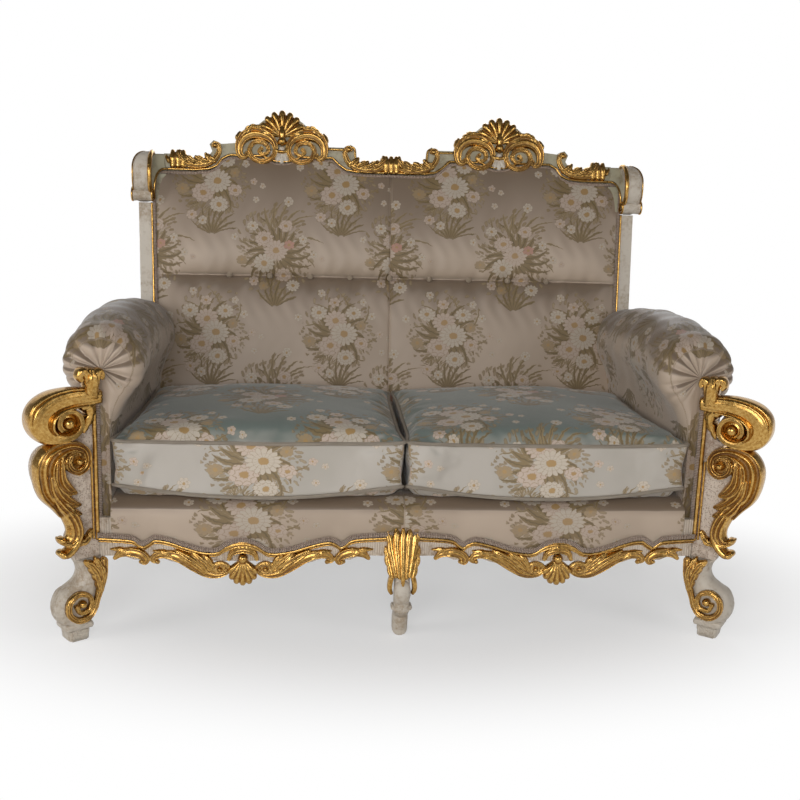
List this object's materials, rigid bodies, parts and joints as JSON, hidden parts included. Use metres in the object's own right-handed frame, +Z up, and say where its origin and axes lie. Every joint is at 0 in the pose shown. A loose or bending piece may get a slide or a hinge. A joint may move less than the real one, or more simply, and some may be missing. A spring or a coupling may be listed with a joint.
{
  "type": "cabriole sofa",
  "caption": "Two seat cabriole sofa with a carved, painted and gilded show frame, raked back, rolled arms and loose seat cushions.",
  "frame": {"origin": "middle of the footprint, on the floor", "axes": "+X to the sitter's left along the length, -Y out of the front, +Z up"},
  "size_m": [1.7408, 0.9246, 1.2586],
  "materials": {
    "painted_wood": "aged cream paint over carved wood",
    "gilt_carving": "antique gold leaf rubbed back over a red brown ground",
    "back_brocade": "taupe floral satin brocade",
    "seat_brocade": "shot blue grey floral satin brocade",
    "frame_wood": "plain sawn beech",
    "jute_webbing": "woven jute",
    "cambric": "thin black cambric"
  },
  "bodies": {
    "frame": {"arm_post_right": "painted_wood", "arm_volute_right": "gilt_carving", "arm_leaf_scroll_right": "gilt_carving", "front_leg_right": "painted_wood", "front_leg_scroll_right": "gilt_carving", "arm_post_left": "painted_wood", "arm_volute_left": "gilt_carving", "arm_leaf_scroll_left": "gilt_carving", "front_leg_left": "painted_wood", "front_leg_scroll_left": "gilt_carving", "lower_back_rail": "frame_wood", "crest_rail": "painted_wood", "crest_shell_right": "gilt_carving", "crest_shell_left": "gilt_carving", "crest_leaf_centre": "gilt_carving", "crest_leaf_right": "gilt_carving", "crest_leaf_left": "gilt_carving", "ear_scroll_right": "painted_wood", "ear_scroll_left": "painted_wood", "outside_back": "back_brocade", "back_button_1": "back_brocade", "back_button_2": "back_brocade", "back_button_3": "back_brocade", "back_button_4": "back_brocade", "back_button_5": "back_brocade", "back_button_6": "back_brocade", "back_button_7": "back_brocade", "back_button_8": "back_brocade", "back_button_9": "back_brocade", "back_pad": "back_brocade", "front_rail": "painted_wood", "rear_rail": "frame_wood", "side_rail_right": "frame_wood", "side_rail_left": "frame_wood", "centre_rail": "frame_wood", "front_corner_block_right": "frame_wood", "front_corner_block_left": "frame_wood", "rear_corner_block_right": "frame_wood", "rear_corner_block_left": "frame_wood", "dust_cover": "cambric", "seat_webbing": "jute_webbing", "apron_scroll_outer_right": "gilt_carving", "apron_scroll_outer_left": "gilt_carving", "apron_scroll_inner_right": "gilt_carving", "apron_scroll_inner_left": "gilt_carving", "apron_shell_right": "gilt_carving", "apron_shell_left": "gilt_carving", "centre_leg": "painted_wood", "centre_leg_leaf": "gilt_carving", "seat_deck": "back_brocade", "back_post_right": "painted_wood", "back_post_left": "painted_wood", "arm_pad_right": "back_brocade", "arm_pad_left": "back_brocade"},
    "right_cushion": {"seat_cushion_right": "seat_brocade"},
    "left_cushion": {"seat_cushion_left": "seat_brocade"}
  },
  "joints": [
    {"name": "right_cushion_slide", "type": "slide", "parent": "frame", "child": "right_cushion", "axis": [0, -1, 0], "range_m": [0, 0.64]},
    {"name": "left_cushion_slide", "type": "slide", "parent": "frame", "child": "left_cushion", "axis": [0, -1, 0], "range_m": [0, 0.64]}
  ]
}
